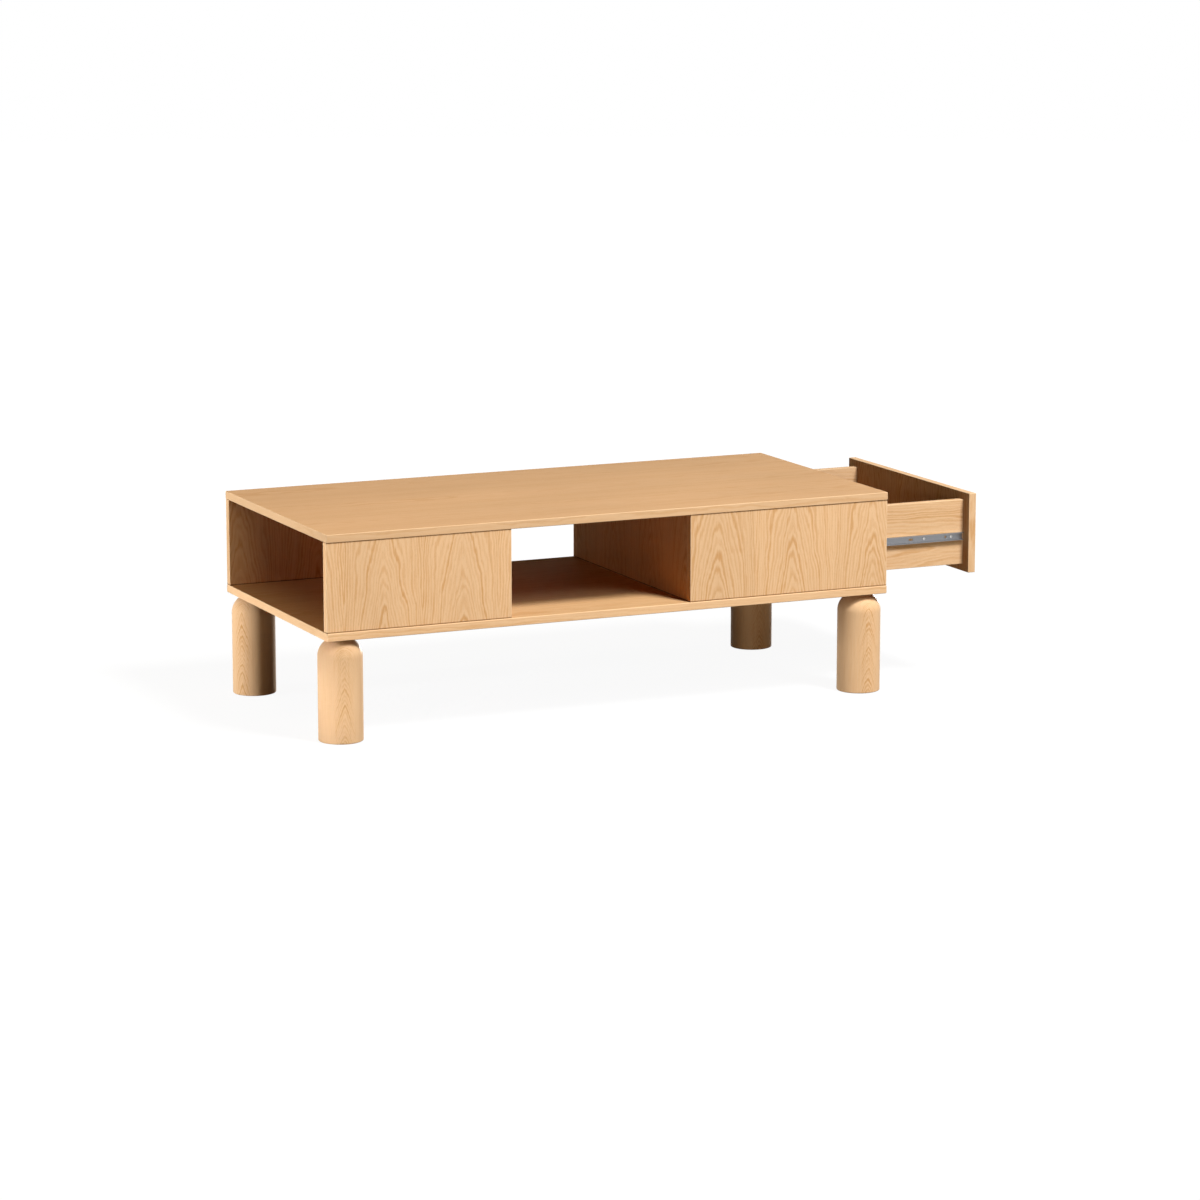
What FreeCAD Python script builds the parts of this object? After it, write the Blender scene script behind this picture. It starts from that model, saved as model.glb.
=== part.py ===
import FreeCAD, Part
import math
import os
from types import SimpleNamespace
import Sketcher

# Coffee table with an open middle, a cubby at its left end and a drawer at its right end.
# X runs along the table with the drawer at +X, -Y is the front, Z is up. Millimetres.
# The origin is on the floor under the middle of the carcass. The drawer stands part open.

driving = {
    # carcass
    "table_length": 1200,
    "table_width": 565,
    "table_height": 408,
    "top_thickness": 16,
    "bottom_thickness": 16,
    "upright_thickness": 16,
    "upright_setback": 2,
    "divider_thickness": 16,
    "left_bay": 381,
    "right_bay": 437,
    "panel_edge_round": 1.5,
    "upright_edge_round": 1,
    # legs
    "leg_height": 202,
    "leg_diameter": 87,
    "leg_seat_diameter": 13,
    "leg_foot_round": 2,
    "leg_inset": 41,
    "pad_diameter": 70,
    "pad_thickness": 3,
    "pad_proud": 1,
    "pad_clearance": 1,
    "bolt_diameter": 8,
    "bolt_in_leg": 48,
    "bolt_room": 2,
    "insert_diameter": 12,
    "insert_cover": 3,
    # dowels and screws
    "dowel_diameter": 8,
    "dowel_length": 30,
    "dowel_cover": 4,
    "dowel_room": 1,
    "dowel_chamfer": 0.8,
    "dowel_end": 50,
    "fit_play": 0.2,
    "screw_cover": 4,
    "screw_room": 1,
    # drawer
    "drawer_open": 215,
    "drawer_gap": 4.3,
    "drawer_floor_gap": 7,
    "drawer_rear_room": 35,
    "drawer_box_step": 15,
    "face_thickness": 16,
    "side_thickness": 15,
    "back_thickness": 15,
    "drawer_edge_round": 1,
    "tray_thickness": 6,
    "tray_rise": 12,
    "groove_depth": 7,
    "groove_room": 0.5,
    # slides
    "batten_thickness": 15,
    "batten_height": 52,
    "slide_width": 12.5,
    "rail_drop": 7.85,
    "rail_front_gap": 3,
    "rail_rear_gap": 17,
    "rail_sheet": 1.2,
    "rail_bend": 1,
    "drawer_rail_height": 15,
    "drawer_rail_depth": 8.1,
    "cabinet_rail_depth": 10.2,
    "cabinet_rail_lip": 1.4,
    "ball_diameter": 3.2,
    "ball_play": 0.08,
    "ball_row_depth": 6.4,
    "race_depth": 0.4,
    "cage_length": 84,
    "cage_end": 6,
    "cage_sheet": 0.7,
    "cage_web_depth": 3.2,
    "cage_depth": 8.8,
    "rail_screw_diameter": 3.5,
    "rail_screw_head": 6.4,
    "rail_screw_head_height": 1.6,
    "rail_screw_end": 25.5,
    "rail_screw_second": 88,
    "rail_hole_place": 38.5,
    "rail_hole_diameter": 5,
    "rail_slot_place": 118.5,
    "rail_slot_length": 10,
    "rail_slot_width": 4.4,
    "batten_screw_diameter": 4,
    "batten_screw_head": 8,
    "batten_screw_head_height": 3,
    "batten_screw_end": 40,
    "batten_screw_step": 19,
    # push latch
    "latch_length": 62,
    "latch_width": 16,
    "latch_height": 19,
    "latch_round": 1,
    "latch_axis": 12,
    "latch_bore_depth": 56,
    "latch_gap": 0.5,
    "latch_collar_gap": 4,
    "ear_length": 14,
    "ear_width": 10,
    "ear_thickness": 3,
    "ear_screw_diameter": 3.5,
    "ear_screw_head": 6.4,
    "ear_screw_head_height": 1.8,
    "plunger_diameter": 8,
    "plunger_length": 44,
    "plunger_play": 0.2,
    "tip_diameter": 9,
    "tip_length": 5,
    "tip_round": 1.5,
    "spring_diameter": 7,
    "spring_wire": 0.9,
}

# Places along a piece as parts of its own length.
divider_dowel_shares = (1 / 3, 2 / 3)
drawer_dowel_shares = (0.2, 0.72)
balls_in_row = 7
batten_screw_count = 3

document = FreeCAD.newDocument("coffee_table")
sheet = document.addObject("Spreadsheet::Sheet", "sizes")
for row, (name, value) in enumerate(driving.items(), start=1):
    sheet.set(f"A{row}", name)
    sheet.set(f"B{row}", str(value))
    sheet.setAlias(f"B{row}", name)
document.recompute()


class Size:
    """A length: the sheet expression that drives it, and its present value."""

    def __init__(self, text, value):
        self.text = text
        self.value = value

    def __add__(self, other):
        return Size(f"({self.text} + {other.text})", self.value + other.value)

    def __sub__(self, other):
        return Size(f"({self.text} - {other.text})", self.value - other.value)

    def __mul__(self, factor):
        return Size(f"({self.text} * {factor})", self.value * factor)

    def __truediv__(self, factor):
        return Size(f"({self.text} / {factor})", self.value / factor)

    def __neg__(self):
        return self * -1

    __rmul__ = __mul__


size = SimpleNamespace(**{name: Size(f"sizes.{name}", value) for name, value in driving.items()})
zero = Size("0", 0)

# The axis that each origin plane faces along: +1 where its normal points the axis's way.
facing = {"XY_Plane": 1, "XZ_Plane": -1, "YZ_Plane": 1}
# How near two computed places are when they count as one.
same_place = 1e-4
finished = []


class Piece:
    """One sub-part: a body drawn from its own corner and set in place."""

    def __init__(self, label, corner):
        self.body = document.addObject("PartDesign::Body", label)
        self.body.Label = label
        self.body.AllowCompound = True
        self.corner = corner
        for axis, place in zip("xyz", corner):
            self.body.setExpression(f"Placement.Base.{axis}", place.text)
        finished.append(self.body)

    def sketch(self, plane, lift=zero):
        sketch = self.body.newObject("Sketcher::SketchObject", "outline")
        support = [item for item in self.body.Origin.OriginFeatures if item.Role == plane][0]
        sketch.AttachmentSupport = (support, [""])
        sketch.MapMode = "FlatFace"
        sketch.setExpression("AttachmentOffset.Base.z", (lift * facing[plane]).text)
        self.plane = plane
        return sketch

    def pad(self, sketch, length, towards=1):
        feature = self.body.newObject("PartDesign::Pad", "pad")
        feature.Profile = sketch
        feature.setExpression("Length", length.text)
        feature.Reversed = towards * facing[self.plane] < 0
        document.recompute()

    def cut(self, sketch, depth, towards=1):
        feature = self.body.newObject("PartDesign::Pocket", "pocket")
        feature.Profile = sketch
        feature.setExpression("Length", depth.text)
        feature.Reversed = towards * facing[self.plane] > 0
        document.recompute()

    def blend(self, kind, measure, length, edges=None):
        base = self.body.Tip
        feature = self.body.newObject(f"PartDesign::{kind}", kind.lower())
        feature.Base = (base, edges or [""])
        feature.UseAllEdges = edges is None
        feature.setExpression(measure, length.text)
        document.recompute()

    def round_edges(self, radius, edges=None):
        self.blend("Fillet", "Radius", radius, edges)

    def chamfer_edges(self, length, edges=None):
        self.blend("Chamfer", "Size", length, edges)

    def edges_at(self, axis, place):
        """Names of the edges that lie whole at one place along an axis of the body."""
        low, high = axis.upper() + "Min", axis.upper() + "Max"
        names = []
        for number, edge in enumerate(self.body.Tip.Shape.Edges, start=1):
            box = edge.BoundBox
            span = (getattr(box, low), getattr(box, high))
            if all(math.isclose(end, place.value, abs_tol=same_place) for end in span):
                names.append(f"Edge{number}")
        return names


def pin_point(sketch, item, point, across, up):
    for kind, place in (("DistanceX", across), ("DistanceY", up)):
        number = sketch.addConstraint(Sketcher.Constraint(kind, item, point, place.value))
        sketch.setExpression(f"Constraints[{number}]", place.text)


def polygon(sketch, points):
    first = sketch.GeometryCount
    corners = [FreeCAD.Vector(across.value, up.value, 0) for across, up in points]
    for start, end in zip(corners, corners[1:] + corners[:1]):
        sketch.addGeometry(Part.LineSegment(start, end), False)
    for number, (across, up) in enumerate(points):
        after = first + (number + 1) % len(points)
        sketch.addConstraint(Sketcher.Constraint("Coincident", first + number, 2, after, 1))
        pin_point(sketch, first + number, 1, across, up)


def rectangle(sketch, left, low, right, high):
    polygon(sketch, [(left, low), (right, low), (right, high), (left, high)])


def circles(sketch, centres, diameter):
    for across, up in centres:
        middle = FreeCAD.Vector(across.value, up.value, 0)
        ring = Part.Circle(middle, FreeCAD.Vector(0, 0, 1), diameter.value / 2)
        item = sketch.addGeometry(ring, False)
        pin_point(sketch, item, 3, across, up)
        number = sketch.addConstraint(Sketcher.Constraint("Diameter", item, diameter.value))
        sketch.setExpression(f"Constraints[{number}]", diameter.text)


def slot(sketch, across, up, length, width):
    """A slot with round ends, its length along the sketch's first axis."""
    reach = (length - width) / 2
    radius = width / 2
    ends = []
    for centre, turn in ((across - reach, math.pi / 2), (across + reach, -math.pi / 2)):
        middle = FreeCAD.Vector(centre.value, up.value, 0)
        ring = Part.Circle(middle, FreeCAD.Vector(0, 0, 1), radius.value)
        item = sketch.addGeometry(Part.ArcOfCircle(ring, turn, turn + math.pi), False)
        pin_point(sketch, item, 3, centre, up)
        number = sketch.addConstraint(Sketcher.Constraint("Radius", item, radius.value))
        sketch.setExpression(f"Constraints[{number}]", radius.text)
        ends.append(item)
    left, right = ends
    for start, start_point, end, end_point in ((left, 2, right, 1), (right, 2, left, 1)):
        side = sketch.addGeometry(Part.LineSegment(
            sketch.getPoint(start, start_point), sketch.getPoint(end, end_point)), False)
        sketch.addConstraint(Sketcher.Constraint("Tangent", start, start_point, side, 1))
        sketch.addConstraint(Sketcher.Constraint("Tangent", side, 2, end, end_point))


def board(label, low, high, edge_round=None):
    """A flat board between two corners, with its edges eased."""
    piece = Piece(label, low)
    length, width, height = (end - start for start, end in zip(low, high))
    sketch = piece.sketch("XY_Plane")
    rectangle(sketch, zero, zero, length, width)
    piece.pad(sketch, height)
    if edge_round:
        piece.round_edges(edge_round)
    return piece


def drill(piece, plane, place, towards, centres, diameter, depth):
    """Round holes from a plane of the assembly, at centres given in the assembly."""
    x, y, z = piece.corner
    across, up, along = {"XY_Plane": (x, y, z), "XZ_Plane": (x, z, y), "YZ_Plane": (y, z, x)}[plane]
    sketch = piece.sketch(plane, place - along)
    circles(sketch, [(first - across, second - up) for first, second in centres], diameter)
    piece.cut(sketch, depth, towards)


def pegs(piece, plane, place, towards, centres, diameter, length):
    """Round pegs that stand on a plane of the assembly."""
    sketch = piece.sketch(plane, place)
    circles(sketch, centres, diameter)
    piece.pad(sketch, length, towards)


# Heights and faces that several pieces share.
half_length = size.table_length / 2
half_width = size.table_width / 2
deck_z = size.leg_height + size.bottom_thickness
ceiling_z = size.table_height - size.top_thickness
bay_height = ceiling_z - deck_z
outer_y = half_width - size.upright_setback
inner_y = outer_y - size.upright_thickness
upright_y = outer_y - size.upright_thickness / 2
left_bay_x = size.left_bay - half_length
right_bay_x = half_length - size.right_bay
right_bay_back_x = right_bay_x + size.divider_thickness
origin = (zero, zero, zero)

# Dowel places, seen from above.
dowel_hole = size.dowel_diameter + size.fit_play


def face_depth(thickness):
    """How deep a dowel goes into a board's face, short of its other face."""
    return thickness - size.dowel_cover - size.dowel_room


def between(start, end):
    return [start + size.dowel_end, (start + end) / 2, end - size.dowel_end]


bays = {"left": (-half_length, left_bay_x), "right": (right_bay_x, half_length)}
long_sides = {"front": -1, "rear": 1}
divider_x = {
    "left": left_bay_x - size.divider_thickness / 2,
    "right": right_bay_x + size.divider_thickness / 2,
}
upright_dowels = {}
for bay, (start, end) in bays.items():
    for end_name, sign in long_sides.items():
        upright_dowels[bay, end_name] = [(x, sign * upright_y) for x in between(start, end)]
    upright_dowels[bay, "divider"] = [(divider_x[bay], y) for y in between(-inner_y, inner_y)]
all_dowels = [place for places in upright_dowels.values() for place in places]
divider_heights = [deck_z + bay_height * share for share in divider_dowel_shares]

# Legs stand under the corners.
leg_x = half_length - size.leg_inset
leg_y = half_width - size.leg_inset
leg_places = {
    "leg_front_left": (-leg_x, -leg_y),
    "leg_front_right": (leg_x, -leg_y),
    "leg_rear_left": (-leg_x, leg_y),
    "leg_rear_right": (leg_x, leg_y),
}
leg_centres = list(leg_places.values())
insert_length = size.bottom_thickness - size.insert_cover

# Top and bottom panels.
top_dowel_depth = face_depth(size.top_thickness)
bottom_dowel_depth = face_depth(size.bottom_thickness)
top_panel = board(
    "top_panel",
    (-half_length, -half_width, ceiling_z),
    (half_length, half_width, size.table_height),
    size.panel_edge_round)
drill(top_panel, "XY_Plane", ceiling_z, 1, all_dowels, dowel_hole, top_dowel_depth + size.dowel_room)

bottom_panel = board(
    "bottom_panel",
    (-half_length, -half_width, size.leg_height),
    (half_length, half_width, deck_z),
    size.panel_edge_round)
drill(bottom_panel, "XY_Plane", deck_z, -1, all_dowels, dowel_hole,
      bottom_dowel_depth + size.dowel_room)
drill(bottom_panel, "XY_Plane", size.leg_height, 1, leg_centres,
      size.insert_diameter + size.fit_play, insert_length)

# Long panels and dividers of the two bays.
side_dowel_depth = face_depth(size.upright_thickness)


def upright_holes(piece, places):
    for place, towards, taken in ((deck_z, 1, bottom_dowel_depth), (ceiling_z, -1, top_dowel_depth)):
        depth = size.dowel_length - taken + size.dowel_room
        drill(piece, "XY_Plane", place, towards, places, dowel_hole, depth)


uprights = {}
for bay, (start, end) in bays.items():
    divider_ends = [(divider_x[bay], height) for height in divider_heights]
    for end_name, sign in long_sides.items():
        near_y, far_y = sorted((sign * inner_y, sign * outer_y), key=lambda face: face.value)
        panel = board(
            f"{bay}_{end_name}_panel",
            (start, near_y, deck_z), (end, far_y, ceiling_z),
            size.upright_edge_round)
        upright_holes(panel, upright_dowels[bay, end_name])
        drill(panel, "XZ_Plane", sign * inner_y, sign, divider_ends, dowel_hole,
              side_dowel_depth + size.dowel_room)
        uprights[bay, end_name] = panel
    half_divider = size.divider_thickness / 2
    divider = board(
        f"{bay}_divider",
        (divider_x[bay] - half_divider, -inner_y, deck_z),
        (divider_x[bay] + half_divider, inner_y, ceiling_z))
    upright_holes(divider, upright_dowels[bay, "divider"])
    for sign in long_sides.values():
        drill(divider, "XZ_Plane", sign * inner_y, -sign, divider_ends, dowel_hole,
              size.dowel_length - side_dowel_depth + size.dowel_room)

# Dowels of the carcass.
top_dowels = Piece("top_dowels", origin)
pegs(top_dowels, "XY_Plane", ceiling_z + top_dowel_depth, -1, all_dowels,
     size.dowel_diameter, size.dowel_length)
top_dowels.chamfer_edges(size.dowel_chamfer)

bottom_dowels = Piece("bottom_dowels", origin)
pegs(bottom_dowels, "XY_Plane", deck_z - bottom_dowel_depth, 1, all_dowels,
     size.dowel_diameter, size.dowel_length)
bottom_dowels.chamfer_edges(size.dowel_chamfer)

divider_dowels = Piece("divider_dowels", origin)
for sign in long_sides.values():
    ends = [(x, height) for x in divider_x.values() for height in divider_heights]
    pegs(divider_dowels, "XZ_Plane", sign * (inner_y + side_dowel_depth), -sign, ends,
         size.dowel_diameter, size.dowel_length)
divider_dowels.chamfer_edges(size.dowel_chamfer)

# Legs, each with a felt pad let into its foot and a bolt up into the bottom panel.
leg_solid_height = size.leg_height - size.pad_proud
pad_recess = size.pad_thickness - size.pad_proud
bolt_hole = size.bolt_diameter + size.fit_play
for label, (x, y) in leg_places.items():
    leg = Piece(label, (x, y, size.pad_proud))
    outline = leg.sketch("XY_Plane")
    circles(outline, [(zero, zero)], size.leg_diameter)
    leg.pad(outline, leg_solid_height)
    leg.round_edges((size.leg_diameter - size.leg_seat_diameter) / 2,
                    leg.edges_at("z", leg_solid_height))
    leg.round_edges(size.leg_foot_round, leg.edges_at("z", zero))
    drill(leg, "XY_Plane", size.pad_proud, 1, [(x, y)], size.pad_diameter + size.pad_clearance,
          pad_recess)
    drill(leg, "XY_Plane", size.leg_height, -1, [(x, y)], bolt_hole, size.bolt_in_leg + size.bolt_room)

foot_pads = Piece("foot_pads", origin)
pegs(foot_pads, "XY_Plane", zero, 1, leg_centres, size.pad_diameter, size.pad_thickness)

leg_inserts = Piece("leg_inserts", origin)
pegs(leg_inserts, "XY_Plane", size.leg_height, 1, leg_centres, size.insert_diameter, insert_length)
drill(leg_inserts, "XY_Plane", size.leg_height, 1, leg_centres, bolt_hole, insert_length)

leg_bolts = Piece("leg_bolts", origin)
pegs(leg_bolts, "XY_Plane", size.leg_height - size.bolt_in_leg, 1, leg_centres,
     size.bolt_diameter, size.bolt_in_leg + insert_length)
leg_bolts.chamfer_edges(size.dowel_chamfer)

# The drawer, part open: its face fills the end of the right bay when it is shut.
face_shut_x = half_length - size.face_thickness
face_x = face_shut_x + size.drawer_open
face_low_z = deck_z + size.drawer_floor_gap
face_high_z = ceiling_z - size.drawer_gap
face_half = inner_y - size.drawer_gap
box_length = face_shut_x - right_bay_back_x - size.drawer_rear_room
box_x = face_x - box_length
box_low_z = face_low_z + size.drawer_box_step
box_high_z = face_high_z - size.drawer_box_step
box_half = inner_y - size.batten_thickness - size.slide_width
box_inner = box_half - size.side_thickness
groove_low_z = box_low_z + size.tray_rise
groove_high_z = groove_low_z + size.tray_thickness + size.fit_play
tray_half = box_inner + size.groove_depth - size.groove_room
side_mid = box_half - size.side_thickness / 2
wall_above_tray = box_high_z - groove_high_z
drawer_heights = [groove_high_z + wall_above_tray * share for share in drawer_dowel_shares]
face_ends = [(sign * side_mid, height) for sign in long_sides.values() for height in drawer_heights]
back_mid_x = box_x + size.back_thickness / 2
back_ends = [(back_mid_x, height) for height in drawer_heights]
face_dowel_depth = face_depth(size.face_thickness)
box_dowel_depth = face_depth(size.side_thickness)


def groove(piece, plane, place, towards, left, right, low, high, depth):
    """A square groove cut from a plane of the assembly."""
    x, y, z = piece.corner
    across, up, along = {"XY_Plane": (x, y, z), "XZ_Plane": (x, z, y), "YZ_Plane": (y, z, x)}[plane]
    sketch = piece.sketch(plane, place - along)
    rectangle(sketch, left - across, low - up, right - across, high - up)
    piece.cut(sketch, depth, towards)


drawer_face = board(
    "drawer_face",
    (face_x, -face_half, face_low_z), (face_x + size.face_thickness, face_half, face_high_z),
    size.drawer_edge_round)
groove(drawer_face, "YZ_Plane", face_x, 1, -tray_half - size.groove_room, tray_half + size.groove_room,
       groove_low_z, groove_high_z, size.groove_depth)
drill(drawer_face, "YZ_Plane", face_x, 1, face_ends, dowel_hole, face_dowel_depth + size.dowel_room)

# Where the slide's screws go, along the drawer rail and along the cabinet rail.
rail_length = box_length - size.rail_front_gap - size.rail_rear_gap
rail_shut_x = face_shut_x - size.rail_front_gap - rail_length
rail_open_x = rail_shut_x + size.drawer_open
rail_z = (box_low_z + box_high_z) / 2 - size.rail_drop
rail_screw_places = [
    rail_length - size.rail_screw_end,
    rail_length - size.rail_screw_second,
    size.rail_screw_end,
]
drawer_screws = [(rail_open_x + place, rail_z) for place in rail_screw_places]
cabinet_screws = [(rail_shut_x + place, rail_z) for place in rail_screw_places]
rail_screw_hole = size.rail_screw_diameter + size.fit_play

for end_name, sign in long_sides.items():
    near_y, far_y = sorted((sign * box_inner, sign * box_half), key=lambda face: face.value)
    side = board(
        f"drawer_side_{end_name}",
        (box_x, near_y, box_low_z), (face_x, far_y, box_high_z),
        size.drawer_edge_round)
    floor_edges = sorted((sign * box_inner, sign * (box_inner + size.groove_depth)),
                         key=lambda edge: edge.value)
    groove(side, "YZ_Plane", box_x, 1, floor_edges[0], floor_edges[1], groove_low_z, groove_high_z,
           box_length)
    drill(side, "YZ_Plane", face_x, -1, [(sign * side_mid, height) for height in drawer_heights],
          dowel_hole, size.dowel_length - face_dowel_depth + size.dowel_room)
    drill(side, "XZ_Plane", sign * box_inner, sign, back_ends, dowel_hole,
          box_dowel_depth + size.dowel_room)
    drill(side, "XZ_Plane", sign * box_half, -sign, drawer_screws, rail_screw_hole,
          size.side_thickness - size.screw_cover + size.screw_room)

drawer_back = board(
    "drawer_back",
    (box_x, -box_inner, box_low_z), (box_x + size.back_thickness, box_inner, box_high_z))
groove(drawer_back, "YZ_Plane", box_x + size.back_thickness, -1, -box_inner, box_inner,
       groove_low_z, groove_high_z, size.groove_depth)
for sign in long_sides.values():
    drill(drawer_back, "XZ_Plane", sign * box_inner, -sign, back_ends, dowel_hole,
          size.dowel_length - box_dowel_depth + size.dowel_room)

tray_x = box_x + size.back_thickness - size.groove_depth + size.groove_room
board(
    "drawer_bottom",
    (tray_x, -tray_half, groove_low_z),
    (face_x + size.groove_depth - size.groove_room, tray_half, groove_low_z + size.tray_thickness))

drawer_face_dowels = Piece("drawer_face_dowels", origin)
pegs(drawer_face_dowels, "YZ_Plane", face_x + face_dowel_depth, -1, face_ends,
     size.dowel_diameter, size.dowel_length)
drawer_face_dowels.chamfer_edges(size.dowel_chamfer)

drawer_back_dowels = Piece("drawer_back_dowels", origin)
for sign in long_sides.values():
    pegs(drawer_back_dowels, "XZ_Plane", sign * (box_inner + box_dowel_depth), -sign, back_ends,
         size.dowel_diameter, size.dowel_length)
drawer_back_dowels.chamfer_edges(size.dowel_chamfer)

# Slides: on each side a batten, a cabinet rail on it, a caged row of balls above and below,
# and the drawer rail that runs inside. Depths are counted from the batten towards the drawer.
batten_y = inner_y - size.batten_thickness
batten_x = right_bay_back_x
batten_end_x = face_shut_x - size.rail_front_gap
batten_low_z = rail_z - size.batten_height / 2
batten_high_z = rail_z + size.batten_height / 2
batten_screws_from = batten_x + size.batten_screw_end
batten_screws_to = batten_end_x - size.batten_screw_end
batten_screw_places = []
for number in range(batten_screw_count):
    x = batten_screws_from + (batten_screws_to - batten_screws_from) * (number / (batten_screw_count - 1))
    batten_screw_places.append((x, rail_z + size.batten_screw_step * (-1) ** number))
batten_screw_bite = size.upright_thickness - size.screw_cover
batten_screw_hole = size.batten_screw_diameter + size.fit_play
batten_head_hole = size.batten_screw_head + size.fit_play

drawer_rail_half = size.drawer_rail_height / 2
race_diameter = size.ball_diameter + 2 * size.ball_play
ball_z = drawer_rail_half - size.race_depth + race_diameter / 2
cabinet_rail_inner = ball_z + race_diameter / 2 - size.race_depth
cabinet_rail_half = cabinet_rail_inner + size.rail_sheet
drawer_rail_edge = size.slide_width - size.drawer_rail_depth
drawer_rail_web = size.slide_width - size.rail_sheet
cabinet_rail_web = size.cabinet_rail_depth - size.rail_sheet
cage_inner = ball_z - size.cage_sheet / 2
cage_outer = ball_z + size.cage_sheet / 2
cage_web = size.cage_web_depth + size.cage_sheet
cage_x = rail_shut_x + (rail_length - size.cage_length) / 2 + size.drawer_open / 2
ball_pitch = (size.cage_length - 2 * size.cage_end) / (balls_in_row - 1)
ball_steps = [size.cage_end + ball_pitch * number for number in range(balls_in_row)]


def channel(label, x, length, sign, points):
    """A strip bent to a section and run along the table."""
    piece = Piece(label, (x, zero, rail_z))
    sketch = piece.sketch("YZ_Plane")
    polygon(sketch, [(sign * (batten_y - depth), height) for depth, height in points])
    piece.pad(sketch, length)
    return piece


def races(piece, sign):
    """The grooves that the balls run in."""
    sketch = piece.sketch("YZ_Plane")
    row_y = sign * (batten_y - size.ball_row_depth)
    circles(sketch, [(row_y, ball_z), (row_y, -ball_z)], race_diameter)
    piece.cut(sketch, rail_length)


for end_name, sign in long_sides.items():
    near_y, far_y = sorted((sign * batten_y, sign * inner_y), key=lambda face: face.value)
    batten = board(
        f"slide_batten_{end_name}",
        (batten_x, near_y, batten_low_z), (batten_end_x, far_y, batten_high_z),
        size.drawer_edge_round)
    drill(batten, "XZ_Plane", sign * batten_y, sign, batten_screw_places, batten_screw_hole,
          size.batten_thickness)
    drill(batten, "XZ_Plane", sign * batten_y, sign, batten_screw_places, batten_head_hole,
          size.batten_screw_head_height)
    drill(batten, "XZ_Plane", sign * batten_y, sign, cabinet_screws, rail_screw_hole,
          size.batten_thickness - size.screw_cover + size.screw_room)
    drill(uprights["right", end_name], "XZ_Plane", sign * inner_y, sign, batten_screw_places,
          batten_screw_hole, batten_screw_bite + size.screw_room)

    cabinet_rail = channel(f"cabinet_rail_{end_name}", rail_shut_x, rail_length, sign, [
        (zero, -cabinet_rail_half),
        (size.cabinet_rail_depth, -cabinet_rail_half),
        (size.cabinet_rail_depth, size.cabinet_rail_lip - cabinet_rail_inner),
        (cabinet_rail_web, size.cabinet_rail_lip - cabinet_rail_inner),
        (cabinet_rail_web, -cabinet_rail_inner),
        (size.rail_sheet, -cabinet_rail_inner),
        (size.rail_sheet, cabinet_rail_inner),
        (cabinet_rail_web, cabinet_rail_inner),
        (cabinet_rail_web, cabinet_rail_inner - size.cabinet_rail_lip),
        (size.cabinet_rail_depth, cabinet_rail_inner - size.cabinet_rail_lip),
        (size.cabinet_rail_depth, cabinet_rail_half),
        (zero, cabinet_rail_half),
    ])
    cabinet_rail.round_edges(size.rail_bend, [
        name for height in (cabinet_rail_half, -cabinet_rail_half)
        for name in cabinet_rail.edges_at("z", height)
        if cabinet_rail.body.Tip.Shape.Edges[int(name[4:]) - 1].BoundBox.XLength > 0])
    races(cabinet_rail, sign)
    drill(cabinet_rail, "XZ_Plane", sign * batten_y, -sign, cabinet_screws, rail_screw_hole,
          size.rail_sheet)

    drawer_rail = channel(f"drawer_rail_{end_name}", rail_open_x, rail_length, sign, [
        (size.slide_width, -drawer_rail_half),
        (size.slide_width, drawer_rail_half),
        (drawer_rail_edge, drawer_rail_half),
        (drawer_rail_edge, drawer_rail_half - size.rail_sheet),
        (drawer_rail_web, drawer_rail_half - size.rail_sheet),
        (drawer_rail_web, size.rail_sheet - drawer_rail_half),
        (drawer_rail_edge, size.rail_sheet - drawer_rail_half),
        (drawer_rail_edge, -drawer_rail_half),
    ])
    races(drawer_rail, sign)
    drill(drawer_rail, "XZ_Plane", sign * box_half, sign, drawer_screws, rail_screw_hole,
          size.rail_sheet)
    drill(drawer_rail, "XZ_Plane", sign * box_half, sign,
          [(rail_open_x + rail_length - size.rail_hole_place, rail_z)], size.rail_hole_diameter,
          size.rail_sheet)
    slot_sketch = drawer_rail.sketch("XZ_Plane", sign * box_half)
    slot(slot_sketch, rail_length - size.rail_slot_place, zero, size.rail_slot_length,
         size.rail_slot_width)
    drawer_rail.cut(slot_sketch, size.rail_sheet, sign)

    cage = channel(f"ball_cage_{end_name}", cage_x, size.cage_length, sign, [
        (size.cage_web_depth, -cage_outer),
        (size.cage_depth, -cage_outer),
        (size.cage_depth, -cage_inner),
        (cage_web, -cage_inner),
        (cage_web, cage_inner),
        (size.cage_depth, cage_inner),
        (size.cage_depth, cage_outer),
        (size.cage_web_depth, cage_outer),
    ])
    row_y = sign * (batten_y - size.ball_row_depth)
    drill(cage, "XY_Plane", rail_z - cage_outer, 1, [(cage_x + step, row_y) for step in ball_steps],
          size.ball_diameter + size.fit_play, 2 * cage_outer)

    balls = []
    for step in ball_steps:
        for row_z in (rail_z + ball_z, rail_z - ball_z):
            ball = document.addObject("Part::Sphere", f"ball_{end_name}")
            ball.setExpression("Radius", (size.ball_diameter / 2).text)
            for axis, place in zip("xyz", (cage_x + step, row_y, row_z)):
                ball.setExpression(f"Placement.Base.{axis}", place.text)
            balls.append(ball)
    ball_set = document.addObject("Part::Compound", f"slide_balls_{end_name}")
    ball_set.Links = balls
    finished.append(ball_set)

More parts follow.
